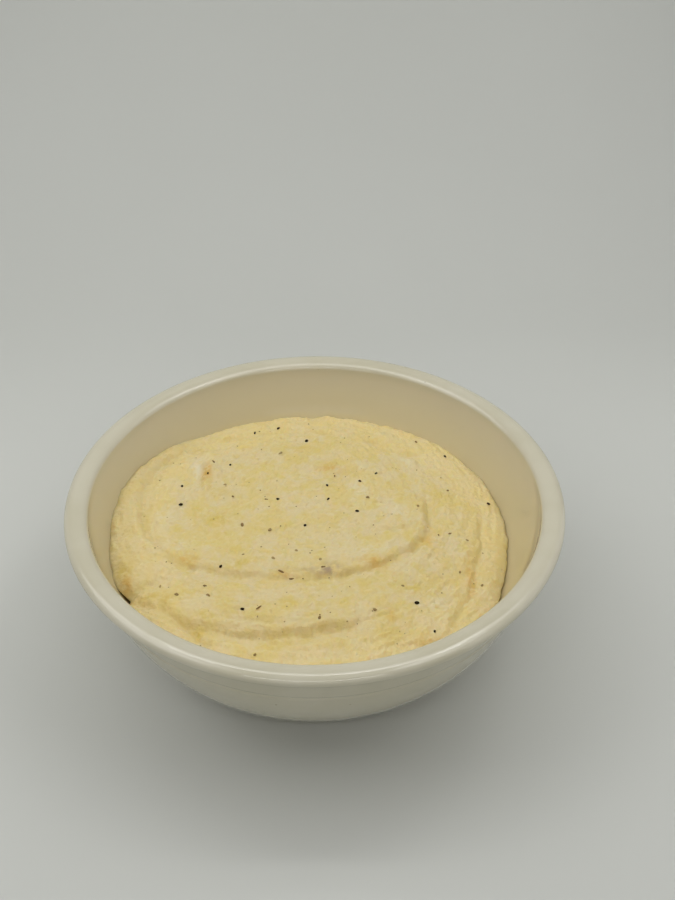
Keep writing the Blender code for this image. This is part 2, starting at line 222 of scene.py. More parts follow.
YELLOW_PATCHES = (
    Patch(centre=(-0.0364, 0.0060), reach=(0.0050, 0.0036), strength=1.2),
    Patch(centre=(-0.0466, 0.0462), reach=(0.0045, 0.0030), strength=0.9),
    Patch(centre=(-0.0362, 0.0205), reach=(0.0050, 0.0030), strength=0.8),
    Patch(centre=(-0.0620, 0.0060), reach=(0.0018, 0.0050), strength=0.6),
    Patch(centre=(-0.0066, 0.0474), reach=(0.0040, 0.0025), strength=0.7),
    Patch(centre=(0.0130, 0.0310), reach=(0.0060, 0.0030), strength=0.7),
    Patch(centre=(0.0445, 0.0198), reach=(0.0060, 0.0036), strength=0.7),
    Patch(centre=(0.0565, 0.0165), reach=(0.0045, 0.0040), strength=0.6),
    Patch(centre=(-0.0266, -0.0185), reach=(0.0065, 0.0026), strength=1.0),
    Patch(centre=(-0.0669, -0.0180), reach=(0.0030, 0.0045), strength=1.0),
    Patch(centre=(-0.0090, -0.0372), reach=(0.0048, 0.0018), strength=0.9),
    Patch(centre=(0.0338, -0.0275), reach=(0.0045, 0.0036), strength=0.9),
    Patch(centre=(-0.0385, -0.0485), reach=(0.0030, 0.0026), strength=1.2),
    Patch(centre=(-0.0129, -0.0545), reach=(0.0050, 0.0030), strength=0.7),
    Patch(centre=(0.0270, -0.0488), reach=(0.0060, 0.0026), strength=0.7),
    Patch(centre=(-0.0360, -0.0425), reach=(0.0080, 0.0026), strength=0.8),
    Patch(centre=(-0.0560, -0.0308), reach=(0.0050, 0.0018), strength=1.0),
    Patch(centre=(-0.0497, -0.0336), reach=(0.0036, 0.0028), strength=1.1),
    Patch(centre=(-0.0640, -0.0290), reach=(0.0036, 0.0040), strength=0.6),
)
PALE_PATCHES = (
    Patch(centre=(-0.0450, 0.0345), reach=(0.0030, 0.0075), strength=1.1),
    Patch(centre=(0.0167, 0.0240), reach=(0.0035, 0.0090), strength=0.8),
    Patch(centre=(0.0362, 0.0400), reach=(0.0050, 0.0035), strength=0.8),
    Patch(centre=(0.0300, 0.0100), reach=(0.0050, 0.0035), strength=0.8),
    Patch(centre=(-0.0560, 0.0075), reach=(0.0040, 0.0040), strength=0.7),
    Patch(centre=(0.0200, -0.0105), reach=(0.0080, 0.0030), strength=0.7),
    Patch(centre=(-0.0480, -0.0080), reach=(0.0060, 0.0030), strength=0.6),
    Patch(centre=(0.0410, -0.0345), reach=(0.0060, 0.0045), strength=0.6),
)
GREY_STAINS = (
    Patch(centre=(0.0010, -0.0215), reach=(0.0110, 0.0018), strength=0.5),
    Patch(centre=(0.0048, -0.0205), reach=(0.0042, 0.0026), strength=0.9),
)
COLOUR_PATCHES = {"warm": WARM_PATCHES, "yellow": YELLOW_PATCHES, "pale": PALE_PATCHES, "stain": GREY_STAINS}
# Where the painted light near the wall starts, out from the centre, and how wide its ramp is.
EDGE_LIGHT_START = 0.048
EDGE_LIGHT_WIDTH = 0.020

# ---- pepper and bran ----
PEPPER_COUNT = 44
PEPPER_SPREAD = 0.068
PEPPER_SPACING = 0.0075
PEPPER_LENGTH = (0.0011, 0.0018)
PEPPER_SQUASH = (0.70, 0.55)
PEPPER_SEED = 7
PALE_FLAKE_SHARE = 0.45
CHIP_RISE = 0.25
CHIP_ROUGHNESS = 0.35
CHIP_GRAIN = 900.0
SLOPE_STEP = 0.0005
UP = Vector((0.0, 0.0, 1.0))
SPECK_COUNT = 130
SPECK_SPREAD = 0.069
SPECK_LENGTH = (0.0003, 0.0008)
SPECK_SEED = 31
BRAN_TONE = 0.45
BranFlake = namedtuple("BranFlake", "centre length width turn")
BRAN_FLAKES = (
    BranFlake(centre=(-0.0116, -0.0230), length=0.0028, width=0.0010, turn=-42.0),
    BranFlake(centre=(-0.0080, -0.0255), length=0.0018, width=0.0006, turn=0.0),
    BranFlake(centre=(0.0030, -0.0200), length=0.0016, width=0.0010, turn=10.0),
    BranFlake(centre=(0.0485, 0.0005), length=0.0024, width=0.0006, turn=20.0),
    BranFlake(centre=(-0.0185, -0.0400), length=0.0026, width=0.0008, turn=52.0),
    BranFlake(centre=(-0.0395, 0.0385), length=0.0022, width=0.0009, turn=-55.0),
    BranFlake(centre=(-0.0185, 0.0165), length=0.0018, width=0.0010, turn=-15.0),
    BranFlake(centre=(-0.0375, -0.0285), length=0.0016, width=0.0010, turn=0.0),
)


# ---------------------------------------------------------------- shapes of the bowl

def arc(centre, width, height, start, end, steps):
    """Points of an elliptical arc in the (radius, height) plane, angles in degrees."""
    points = []
    for step in range(steps + 1):
        angle = math.radians(start + (end - start) * step / steps)
        points.append((centre[0] + width * math.cos(angle), centre[1] + height * math.sin(angle)))
    return points


def spread(first, last, count):
    """Evenly spaced values from first to last."""
    return [first + (last - first) * index / (count - 1) for index in range(count)]


def hollow_radius(height):
    """Radius of the bowl's inner wall at a height above the table."""
    below = BOWL_HEIGHT + HOLLOW_RISE - height
    return HOLLOW_RADIUS * math.sqrt(1.0 - (below / HOLLOW_DEPTH) ** 2)


def hollow_height(radius):
    """Height of the bowl's inside at a radius: the ellipse, softened into the floor."""
    wall = BOWL_HEIGHT + HOLLOW_RISE - HOLLOW_DEPTH * math.sqrt(1.0 - (radius / HOLLOW_RADIUS) ** 2)
    floor = BOWL_HEIGHT - FLOOR_DROP
    return 0.5 * (wall + floor + math.hypot(wall - floor, FLOOR_BLEND))


def outer_radius(drop):
    """Radius of the bowl's outer wall at a depth below the rim's top, with its turned line."""
    below = max(drop - WALL_TOP_DROP, 0.0) / WALL_DEPTH
    flare = COVE_FLARE * math.exp(-max(drop - LIP_DEPTH, 0.0) / COVE_REACH)
    line = RING_LINE_DEPTH * math.exp(-((drop - RING_LINE_DROP) / RING_LINE_WIDTH) ** 2)
    return WALL_RADIUS * math.sqrt(1.0 - below ** 2) + flare - line


def inner_profile():
    """The bowl's inside, from the floor's centre up to the lip."""
    hollow = [(radius, hollow_height(radius)) for radius in spread(*HOLLOW_SAMPLES)]
    wall = [(hollow_radius(BOWL_HEIGHT - drop), BOWL_HEIGHT - drop)
            for drop in spread(*INNER_WALL_SAMPLES)]
    return hollow + wall


def lip_profile():
    """The rolled rim, from its inner edge over the top to the underside of its outer edge."""
    inner = (RIM_RADIUS - LIP_WIDTH + LIP_INNER_ROLL, BOWL_HEIGHT - LIP_CROWN)
    outer = (RIM_RADIUS - LIP_OUTER_ROLL, BOWL_HEIGHT - LIP_CROWN)
    under = (RIM_RADIUS - LIP_UNDER_ROUND, BOWL_HEIGHT - LIP_DEPTH + LIP_UNDER_ROUND)
    return (arc(inner, LIP_INNER_ROLL, LIP_CROWN, 180.0, 90.0, 14)
            + arc(outer, LIP_OUTER_ROLL, LIP_CROWN, 90.0, 0.0, 14)
            + arc(under, LIP_UNDER_ROUND, LIP_UNDER_ROUND, 0.0, -90.0, 6)[1:])


def outer_profile():
    """The outer wall under the lip down to the foot ring."""
    return [(outer_radius(drop), BOWL_HEIGHT - drop)
            for samples in OUTER_WALL_SAMPLES for drop in spread(*samples)]


def foot_profile():
    """The foot ring and the recess under the bowl, ending on the axis."""
    drop = BOWL_HEIGHT - FOOT_RECESS - FOOT_WALL_GAP
    inner = FOOT_RADIUS - FOOT_WIDTH
    outer_toe = (FOOT_RADIUS - FOOT_ROUND, FOOT_ROUND)
    inner_toe = (inner + FOOT_ROUND, FOOT_ROUND)
    return ([(outer_radius(drop), BOWL_HEIGHT - drop),
             (FOOT_RADIUS + FOOT_ROUND, FOOT_RECESS * 0.6),
             (FOOT_RADIUS, FOOT_RECESS * 0.3)]
            + arc(outer_toe, FOOT_ROUND, FOOT_ROUND, 0.0, -90.0, 4)
            + arc(inner_toe, FOOT_ROUND, FOOT_ROUND, -90.0, -180.0, 4)
            + [(inner - 0.5 * FOOT_ROUND, FOOT_RECESS * 0.5)]
            + arc((inner - 3.0 * FOOT_ROUND, FOOT_RECESS - 2.0 * FOOT_ROUND),
                  2.0 * FOOT_ROUND, 2.0 * FOOT_ROUND, 0.0, 90.0, 5)
            + [(0.020, FOOT_RECESS), (0.0, FOOT_RECESS)])


# ---------------------------------------------------------------- the grits' surface

def smooth_step(value):
    """0 below 0, 1 above 1 and an even S between them."""
    value = min(max(value, 0.0), 1.0)
    return value * value * (3.0 - 2.0 * value)


def degrees_apart(first, second):
    """The unsigned angle between two directions in degrees."""
    return abs((first - second + 180.0) % 360.0 - 180.0)


def across_fold(fold, x, y):
    """Distance out from a fold's crease, and how strong the fold is beside a point."""
    turn = math.radians(fold.turn)
    shift_x = x - fold.centre[0]
    shift_y = y - fold.centre[1]
    along = (shift_x * math.cos(turn) + shift_y * math.sin(turn)) / fold.half_length
    across = (shift_y * math.cos(turn) - shift_x * math.sin(turn)) / fold.half_width
    reach = max(math.hypot(along, across), 0.001)
    outside = math.hypot(shift_x, shift_y) * (1.0 - 1.0 / reach)
    outside += FOLD_WANDER * noise.noise(Vector((x, y, fold.half_length)) / FOLD_WANDER_SPACING)
    place = Vector((x, y, fold.half_width)) / FOLD_RAGGED_SPACING
    outside += FOLD_RAGGED * (noise.noise(place) + 0.5 * noise.noise(place * 2.1))
    outside *= fold.side
    middle = (fold.start + fold.end) / 2.0
    half_span = (fold.end - fold.start) / 2.0
    from_middle = degrees_apart(math.degrees(math.atan2(across, along)), middle)
    return outside, smooth_step((half_span - from_middle) / fold.fade)


def fold_height(fold, x, y):
    """How much one spoon stroke lifts or lowers the surface at a point."""
    outside, strength = across_fold(fold, x, y)
    crease_reach = FOLD_SHARPNESS * (fold.apron if outside > 0.0 else fold.crease_width)
    shoulder_width = FOLD_SHARPNESS * fold.shoulder_width
    from_shoulder = outside + shoulder_width
    shoulder_reach = shoulder_width if from_shoulder > 0.0 else SHOULDER_FADE
    crease = fold.crease * math.exp(-(outside / crease_reach) ** 2)
    shoulder = fold.shoulder * math.exp(-(from_shoulder / shoulder_reach) ** 2)
    breaks = 1.0 + FOLD_BREAKS * noise.noise(Vector((x, y, fold.half_length)) / FOLD_BREAK_SPACING)
    return FOLD_RELIEF * strength * (shoulder - breaks * crease)


def open_height(x, y):
    """Height of the grits' surface away from the wall."""
    height = GRITS_LEVEL
    height += DOME_HEIGHT * (1.0 - (Vector((x, y)) - DOME_CENTRE).length_squared / DOME_REACH ** 2)
    for fold in FOLDS:
        height += fold_height(fold, x, y)
    for swell in SWELLS:
        away = (Vector((x, y)) - Vector(swell.centre)).length / swell.reach
        height += swell.height * math.exp(-away ** 2)
    place = Vector((x, y, 0.0)) / LUMP_SPACING
    return height + LUMP_HEIGHT * (noise.noise(place) + 0.5 * noise.noise(place * 2.3))


def near_bank(bank, angle):
    """How much a bank or hollow at the wall counts in a direction, in degrees."""
    return math.exp(-(degrees_apart(angle, bank.angle) / bank.spread) ** 2)


def edge_drop(angle):
    """How far the surface rounds down to the wall in a direction."""
    return EDGE_DROP - sum(bank.rise * near_bank(bank, angle) for bank in BANKS)


def edge_gap(angle):
    """The open gap between the grits and the wall in a direction."""
    return sum(bank.gap * near_bank(bank, angle) ** 2 for bank in BANKS)


def crease_marks(x, y):
    """How deep in a crease's slope a point lies, and how deep in the sharp line at its bottom."""
    slope, seam = 0.0, 0.0
    for fold in FOLDS:
        outside, strength = across_fold(fold, x, y)
        reach = MARK_UP_APRON * fold.apron if outside > 0.0 else MARK_UNDER_SHOULDER * fold.crease_width
        size = min(fold.crease / DEEP_CREASE, 1.0)
        slope = max(slope, size * strength * math.exp(-(outside / reach) ** 2))
        seam = max(seam, size * strength * math.exp(-abs(outside) / SEAM_WIDTH))
    return slope, seam


def fine_height(x, y):
    """The fine relief: streaks along the spoon's path, soft curds, grain and crease seams."""
    from_swirl = Vector((x, y)) - SWIRL_CENTRE
    ring = from_swirl.length / STREAK_WIDTH
    way = from_swirl.normalized() * STREAK_LENGTHS_ROUND
    streak = sum(noise.noise(Vector((way.x, way.y, ring * finer))) / finer for finer in (1.0, 2.3, 4.7))
    streak *= 0.5 + smooth_step(from_swirl.length / STREAK_CALM_REACH)
    slope, seam = crease_marks(x, y)
    place = Vector((x, y, 0.3))
    curd = noise.noise(place / CURD_SPACING) + 0.6 * noise.noise(place / CURD_SPACING * 2.1)
    curd *= 1.0 + CREASE_CRUMBLE * slope
    grain = noise.noise(place / GRAIN_SPACING)
    return STREAK_HEIGHT * streak + CURD_HEIGHT * curd + GRAIN_HEIGHT * grain - SEAM_DEPTH * seam


def ragged_rise(direction):
    """The small unevenness of the grits' edge in a direction."""
    place = direction * hollow_radius(GRITS_LEVEL)
    place = Vector((place.x, place.y, 0.0)) / RAGGED_SPACING
    return RAGGED_HEIGHT * (noise.noise(place) + 0.4 * noise.noise(place * 2.7))


def wall_contact(direction):
    """How far out the grits' edge stands in a direction, and how far it has dropped there."""
    angle = math.degrees(math.atan2(direction.y, direction.x))
    rim = direction * hollow_radius(GRITS_LEVEL)
    drop = edge_drop(angle) - ragged_rise(direction)
    return hollow_radius(open_height(rim.x, rim.y) - drop) + WALL_OVERLAP - edge_gap(angle), drop


def edge_fall(inwards, drop):
    """How far the surface has sagged and rounded off at a distance in from the wall."""
    sag = (drop - EDGE_ROUND_DROP) * (1.0 - min(inwards / EDGE_SAG_REACH, 1.0)) ** 2
    return sag + EDGE_ROUND_DROP * (1.0 - min(inwards / EDGE_ROUND, 1.0)) ** 2


def surface_height(x, y):
    """Height of the grits' surface at any point, rounded down towards the wall."""
    reach, drop = wall_contact(Vector((x, y)).normalized())
    inwards = max(reach - math.hypot(x, y), 0.0)
    fine = fine_height(x, y) * smooth_step(inwards / FINE_FADE)
    return open_height(x, y) + fine - edge_fall(inwards, drop)


# ---------------------------------------------------------------- making pieces

def piece_from(name, shape, material, node=None):
    """Turns a bmesh into a finished piece that rides on the root body."""
    mesh = bpy.data.meshes.new(name)
    shape.to_mesh(mesh)
    shape.free()
    mesh.shade_smooth()
    mesh.materials.append(material)
    piece = bpy.data.objects.new(name, mesh)
    bpy.context.scene.collection.objects.link(piece)
    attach(piece, "root")
    if node:
        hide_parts(node)
    return piece


def turned_bowl(material):
    """The bowl, spun from its section."""
    shape = bmesh.new()
    profile = inner_profile() + lip_profile() + outer_profile() + foot_profile()
    corners = [shape.verts.new((radius, 0.0, height)) for radius, height in profile]
    edges = [shape.edges.new(pair) for pair in zip(corners, corners[1:])]
    bmesh.ops.spin(shape, geom=corners + edges, axis=(0.0, 0.0, 1.0), cent=(0.0, 0.0, 0.0),
                   angle=math.tau, steps=BOWL_TURNS, use_merge=True, use_duplicate=False)
    bmesh.ops.remove_doubles(shape, verts=shape.verts, dist=0.000005)
    bmesh.ops.recalc_face_normals(shape, faces=shape.faces)
    piece = piece_from("glazed_bowl", shape, material, node="bowl")
    piece.data.set_sharp_from_angle(angle=math.radians(SHARP_ANGLE))
    # The mask for the painted yellow reflection of the grits on the inner wall.
    store_mask(piece.data, "inside", inside_weight)


def inside_weight(place):
    """1 on the bowl's inner wall, where the painted reflection of the grits goes, fading out over the lip, 0
    outside and on the floor.
    """
    drop = BOWL_HEIGHT - place.z
    if place.z < SIDE_HEIGHTS[-1]:
        return 0.0
    middle = (hollow_radius(place.z) + outer_radius(drop)) / 2.0
    return smooth_step(drop / REFLECTION_AND_FILM_FADE) if place.xy.length < middle else 0.0


def patch_weight(patch, place):
    """How strongly a coloured patch counts at a point."""
    across = (place.x - patch.centre[0]) / patch.reach[0]
    along = (place.y - patch.centre[1]) / patch.reach[1]
    return patch.strength * math.exp(-math.hypot(across, along) ** 2)


def store_mask(mesh, name, weigh):
    """Stores a value at every corner of a mesh, for its material; weigh takes the corner's place."""
    layer = mesh.attributes.new(name, "FLOAT", "POINT")
    layer.data.foreach_set("value", [weigh(corner.co) for corner in mesh.vertices])


def colour_masks(mesh):
    """Stores the masks for the grits' colour: painted shade down the crease slopes, painted light near the
    wall, and the coloured patches.
    """
    store_mask(mesh, "crease", lambda place: crease_marks(place.x, place.y)[0])
    store_mask(mesh, "wall_edge_light", lambda place: smooth_step((place.xy.length - EDGE_LIGHT_START) / EDGE_LIGHT_WIDTH))
    for name, patches in COLOUR_PATCHES.items():
        store_mask(mesh, name, lambda place: sum(patch_weight(patch, place) for patch in patches))


def spooned_grits(material):
    """The grits: a fine grid drawn into a disc, worked into folds, closed down the bowl's wall."""
    shape = bmesh.new()
    bmesh.ops.create_grid(shape, x_segments=SURFACE_CELLS, y_segments=SURFACE_CELLS, size=1.0)
    rim = [edge for edge in shape.edges if edge.is_boundary]
    for corner in shape.verts:
        across = corner.co.x * math.sqrt(1.0 - corner.co.y ** 2 / 2.0)
        along = corner.co.y * math.sqrt(1.0 - corner.co.x ** 2 / 2.0)
        reach, _ = wall_contact(Vector((across, along)).normalized())
        x, y = across * reach, along * reach
        corner.co = (x, y, surface_height(x, y))
    for height in SIDE_HEIGHTS:
        made = bmesh.ops.extrude_edge_only(shape, edges=rim)["geom"]
        rim = [part for part in made if isinstance(part, bmesh.types.BMEdge)]
        for corner in {corner for edge in rim for corner in edge.verts}:
            direction = Vector((corner.co.x, corner.co.y)).normalized()
            gap = edge_gap(math.degrees(math.atan2(direction.y, direction.x)))
            radius = hollow_radius(height) + WALL_OVERLAP - gap
            corner.co = (direction.x * radius, direction.y * radius, hollow_height(radius))
    bmesh.ops.holes_fill(shape, edges=rim)
    bmesh.ops.recalc_face_normals(shape, faces=shape.faces)
    piece = piece_from("spooned_grits", shape, material, node="grits")
    colour_masks(piece.data)


def surface_normal(x, y):
    """The upward normal of the grits' surface."""
    rise_x = surface_height(x + SLOPE_STEP, y) - surface_height(x - SLOPE_STEP, y)
    rise_y = surface_height(x, y + SLOPE_STEP) - surface_height(x, y - SLOPE_STEP)
    return Vector((-rise_x, -rise_y, 2.0 * SLOPE_STEP)).normalized()


def spread_places(seed, count, reach, spacing):
    """Seeded, evenly spread places on the surface, clear of each other."""
    draw = random.Random(seed)
    places = []
    while len(places) < count:
        radius = reach * math.sqrt(draw.random())
        angle = draw.uniform(0.0, math.tau)
        place = Vector((radius * math.cos(angle), radius * math.sin(angle)))
        if all((place - other).length > spacing for other in places):
            places.append(place)
    return places


def add_chip(shape, place, size, turn, tone, tone_layer, detail=2):
    """Lays one broken chip on the surface, half sunk, and records its tone."""
    lie = UP.rotation_difference(surface_normal(place.x, place.y)).to_matrix().to_4x4()
    made = bmesh.ops.create_icosphere(shape, subdivisions=detail, radius=1.0)["verts"]
    grain = Vector((place.x, place.y, 0.0)) * CHIP_GRAIN
    for corner in made:
        corner.co *= 1.0 + CHIP_ROUGHNESS * noise.noise(corner.co * 1.3 + grain)
        corner[tone_layer] = tone
    bmesh.ops.scale(shape, vec=size, verts=made)
    level = surface_height(place.x, place.y) + CHIP_RISE * size.z
    centre = Matrix.Translation((place.x, place.y, level))
    bmesh.ops.transform(shape, matrix=centre @ lie @ Matrix.Rotation(turn, 4, "Z"), verts=made)


def cracked_pepper(material):
    """Broken pepper flakes, half sunk in the surface: black chips and paler bits of husk."""
    shape = bmesh.new()
    tones = shape.verts.layers.float.new("tone")
    draw = random.Random(PEPPER_SEED + 1)
    tone_draw = random.Random(PEPPER_SEED + 2)
    for place in spread_places(PEPPER_SEED, PEPPER_COUNT, PEPPER_SPREAD, PEPPER_SPACING):
        length = draw.uniform(*PEPPER_LENGTH)
        size = Vector((length, length * PEPPER_SQUASH[0], length * PEPPER_SQUASH[1])) / 2.0
        turn = draw.uniform(0.0, math.tau)
        tone = tone_draw.uniform(0.5, 1.0) if tone_draw.random() < PALE_FLAKE_SHARE else 0.0
        add_chip(shape, place, size, turn, tone, tones)
    piece_from("cracked_pepper", shape, material)


def fine_specks(material):
    """Fine pepper dust and grain specks scattered over the surface."""
    shape = bmesh.new()
    tones = shape.verts.layers.float.new("tone")
    draw = random.Random(SPECK_SEED)
    for place in spread_places(SPECK_SEED, SPECK_COUNT, SPECK_SPREAD, SPECK_LENGTH[1]):
        length = draw.uniform(*SPECK_LENGTH)
        size = Vector((length, length * draw.uniform(0.5, 0.9), length * 0.4)) / 2.0
        add_chip(shape, place, size, draw.uniform(0.0, math.tau), draw.uniform(0.3, 1.0), tones, detail=1)
    piece_from("fine_specks", shape, material)


def bran_flakes(material):
    """A few larger brown flakes of corn husk pressed into the creases."""
    shape = bmesh.new()
    tones = shape.verts.layers.float.new("tone")
    for flake in BRAN_FLAKES:
        size = Vector((flake.length, flake.width, 0.3 * flake.width)) / 2.0
        add_chip(shape, Vector(flake.centre), size, math.radians(flake.turn), BRAN_TONE, tones)
    piece_from("bran_flakes", shape, material)


# ---------------------------------------------------------------- materials

def rgba(red, green, blue):
    """A colour's linear values with full opacity."""
    return (red, green, blue, 1.0)


def new_material(name):
    """A Principled material, its node tree and its shader."""
    material = bpy.data.materials.new(name)
    material.use_nodes = True
    return material, material.node_tree, material.node_tree.nodes["Principled BSDF"]


def add_node(tree, kind, values=None, **settings):
    """Adds a node, sets its properties and then its unlinked inputs."""
    node = tree.nodes.new(kind)
    for setting, value in settings.items():
        setattr(node, setting, value)
    for socket, value in (values or {}).items():
        node.inputs[socket].default_value = value
    return node


def noise_value(tree, place, scale, detail=2.0, roughness=0.5):
    """A noise texture's value at a coordinate."""
    node = add_node(tree, "ShaderNodeTexNoise", {"Scale": scale, "Detail": detail, "Roughness": roughness})
    tree.links.new(place, node.inputs["Vector"])
    return node.outputs["Fac"]


def remap(tree, value, low, high, to_low=0.0, to_high=1.0):
    """Maps a value smoothly from one range to another and clamps it."""
    node = add_node(tree, "ShaderNodeMapRange",
                    {"From Min": low, "From Max": high, "To Min": to_low, "To Max": to_high},
                    interpolation_type="SMOOTHSTEP")
    tree.links.new(value, node.inputs["Value"])
    return node.outputs["Result"]


def blend(tree, factor, first, second):
    """Mixes two colours; each is a socket or a colour."""
    node = add_node(tree, "ShaderNodeMix", data_type="RGBA")
    for index, value in ((0, factor), (6, first), (7, second)):
        if isinstance(value, bpy.types.NodeSocket):
            tree.links.new(value, node.inputs[index])
        else:
            node.inputs[index].default_value = value
    return node.outputs[2]


def combine(tree, operation, first, second):
    """Applies a maths operation to two values; each is a socket or a number."""
    node = add_node(tree, "ShaderNodeMath", operation=operation)
    for index, value in enumerate((first, second)):
        if isinstance(value, bpy.types.NodeSocket):
            tree.links.new(value, node.inputs[index])
        else:
            node.inputs[index].default_value = value
    return node.outputs[0]


def new_group(name, inputs, outputs):
    """A shader node group with named inputs and outputs, and its two end nodes."""
    group = bpy.data.node_groups.new(name, "ShaderNodeTree")
    for title, kind in inputs:
        group.interface.new_socket(title, in_out="INPUT", socket_type=kind)
    for title, kind in outputs:
        group.interface.new_socket(title, in_out="OUTPUT", socket_type=kind)
    return group, group.nodes.new("NodeGroupInput"), group.nodes.new("NodeGroupOutput")


def speck_group():
    """Sparse round specks: a mask from cells, of which only a share carries a speck."""
    group, start, end = new_group(
        "sparse specks",
        (("Vector", "NodeSocketVector"), ("Scale", "NodeSocketFloat"), ("Size", "NodeSocketFloat"),
         ("Share", "NodeSocketFloat")),
        (("Mask", "NodeSocketFloat"),))
    cells = add_node(group, "ShaderNodeTexVoronoi", {"Randomness": 1.0})
    group.links.new(start.outputs["Vector"], cells.inputs["Vector"])
    group.links.new(start.outputs["Scale"], cells.inputs["Scale"])
    split = add_node(group, "ShaderNodeSeparateColor")
    group.links.new(cells.outputs["Color"], split.inputs["Color"])
    carries = combine(group, "LESS_THAN", split.outputs[0], start.outputs["Share"])
    size = combine(group, "MULTIPLY", start.outputs["Size"], split.outputs[1])
    inside = combine(group, "LESS_THAN", cells.outputs["Distance"], size)
    group.links.new(combine(group, "MULTIPLY", carries, inside), end.inputs["Mask"])
    return group


def specks(tree, group, place, scale, size, share):
    """Uses the speck group in a material."""
    node = add_node(tree, "ShaderNodeGroup", node_tree=group)
    for title, value in (("Scale", scale), ("Size", size), ("Share", share)):
        node.inputs[title].default_value = value
    tree.links.new(place, node.inputs["Vector"])
    return node.outputs["Mask"]


def glaze_material(speck_nodes):
    """Cream glaze, slightly clouded and pooled, with tiny iron specks and a bare clay foot; inside, a
    painted yellow reflection of the grits, partly a film of grits.
    """
    material, tree, shader = new_material("cream glaze")
    place = add_node(tree, "ShaderNodeTexCoord").outputs["Object"]
    cloud = remap(tree, noise_value(tree, place, 45.0, 3.0), 0.35, 0.65)
    colour = blend(tree, cloud, rgba(0.558, 0.523, 0.388), rgba(0.594, 0.559, 0.431))
    dots = specks(tree, speck_nodes, place, 260.0, 0.09, 0.12)
    colour = blend(tree, combine(tree, "MULTIPLY", dots, 0.65), colour, rgba(0.22, 0.17, 0.11))
    height = add_node(tree, "ShaderNodeSeparateXYZ")
    tree.links.new(place, height.inputs["Vector"])
    # Painted reflection: the inner wall is tinted yellower, darker and more saturated towards the grits, for
    # the light the grits throw on it; partly a thin film of grits on the glaze.
    inside = add_node(tree, "ShaderNodeAttribute", attribute_name="inside").outputs["Fac"]
    upper = remap(tree, height.outputs["Z"], GRITS_LEVEL - EDGE_DROP, BOWL_HEIGHT)
    grits_reflection_and_film = blend(tree, upper, rgba(0.665, 0.572, 0.335), rgba(0.655, 0.592, 0.445))
    colour = blend(tree, combine(tree, "MULTIPLY", inside, 0.85), colour, grits_reflection_and_film)
    clay = remap(tree, height.outputs["Z"], *BARE_CLAY_HEIGHTS)
    grain = remap(tree, noise_value(tree, place, 1800.0), 0.3, 0.7)
    bare = blend(tree, grain, rgba(0.50, 0.42, 0.30), rgba(0.60, 0.52, 0.39))
    colour = blend(tree, clay, colour, bare)
    tree.links.new(colour, shader.inputs["Base Color"])
    tree.links.new(remap(tree, clay, 0.0, 1.0, 0.06, 0.75), shader.inputs["Roughness"])
    tree.links.new(remap(tree, clay, 0.0, 1.0, 0.3, 0.0), shader.inputs["Coat Weight"])
    shader.inputs["Coat Roughness"].default_value = 0.02
    shader.inputs["IOR"].default_value = 1.5
    ripple = add_node(tree, "ShaderNodeBump", {"Strength": 0.10, "Distance": 0.0003})
    tree.links.new(noise_value(tree, place, 90.0, 2.0), ripple.inputs["Height"])
    tree.links.new(ripple.outputs["Normal"], shader.inputs["Normal"])
    return material


def grits_material(speck_nodes):
    """Moist pale yellow porridge, mottled, with painted shade down its creases, painted light near the wall,
    and warmer patches that are partly painted shade.
    """
    material, tree, shader = new_material("cooked grits")
    place = add_node(tree, "ShaderNodeTexCoord").outputs["Object"]

    def mask(name):
        return add_node(tree, "ShaderNodeAttribute", attribute_name=name).outputs["Fac"]

    broad = remap(tree, noise_value(tree, place, 110.0, 2.0, 0.6), 0.38, 0.62)
    colour = blend(tree, broad, rgba(0.735, 0.591, 0.244), rgba(0.744, 0.618, 0.339))
    dabs = remap(tree, noise_value(tree, place, 210.0, 1.0, 0.5), 0.54, 0.68)
    colour = blend(tree, combine(tree, "MULTIPLY", dabs, 0.45), colour, rgba(0.707, 0.567, 0.167))
    curds = remap(tree, noise_value(tree, place, 480.0, 1.0, 0.5), 0.54, 0.70)
    colour = blend(tree, combine(tree, "MULTIPLY", curds, 0.30), colour, rgba(0.790, 0.679, 0.382))
    crumbs = specks(tree, speck_nodes, place, 420.0, 0.22, 0.25)
    colour = blend(tree, combine(tree, "MULTIPLY", crumbs, 0.15), colour, rgba(0.558, 0.419, 0.191))
    # Painted shade: the crease slopes are darkened to a deeper yellow where shade falls.
    colour = blend(tree, combine(tree, "MULTIPLY", mask("crease"), 0.45), colour, rgba(0.679, 0.521, 0.172))
    # Painted light: the grits are paled towards the wall, standing in for light that the wall shades off
    # there.
    colour = blend(tree, combine(tree, "MULTIPLY", mask("wall_edge_light"), 0.50), colour, rgba(0.840, 0.695, 0.350))
    uneven = remap(tree, noise_value(tree, place, 330.0, 3.0, 0.6), 0.30, 0.62)
    # The warm and yellow patches are partly the grits' own tint and partly painted shade down crease slopes.
    for name, tint in (("pale", rgba(0.800, 0.735, 0.535)), ("yellow", rgba(0.670, 0.512, 0.115)),
                       ("warm", rgba(0.670, 0.400, 0.076)), ("stain", rgba(0.391, 0.279, 0.191))):
        spot = combine(tree, "MULTIPLY", mask(name), uneven)
        spot = combine(tree, "MINIMUM", combine(tree, "MULTIPLY", spot, 0.70), 0.85)
        colour = blend(tree, spot, colour, tint)
    tree.links.new(colour, shader.inputs["Base Color"])
    tree.links.new(remap(tree, broad, 0.0, 1.0, 0.50, 0.38), shader.inputs["Roughness"])
    shader.inputs["IOR"].default_value = 1.38
    shader.inputs["Subsurface Weight"].default_value = 0.6
    shader.inputs["Subsurface Radius"].default_value = (1.0, 0.72, 0.42)
    shader.inputs["Subsurface Scale"].default_value = 0.0022
    grain = add_node(tree, "ShaderNodeBump", {"Strength": 1.0, "Distance": 0.0005})
    tree.links.new(noise_value(tree, place, 1100.0, 3.0, 0.65), grain.inputs["Height"])
    tree.links.new(grain.outputs["Normal"], shader.inputs["Normal"])
    return material


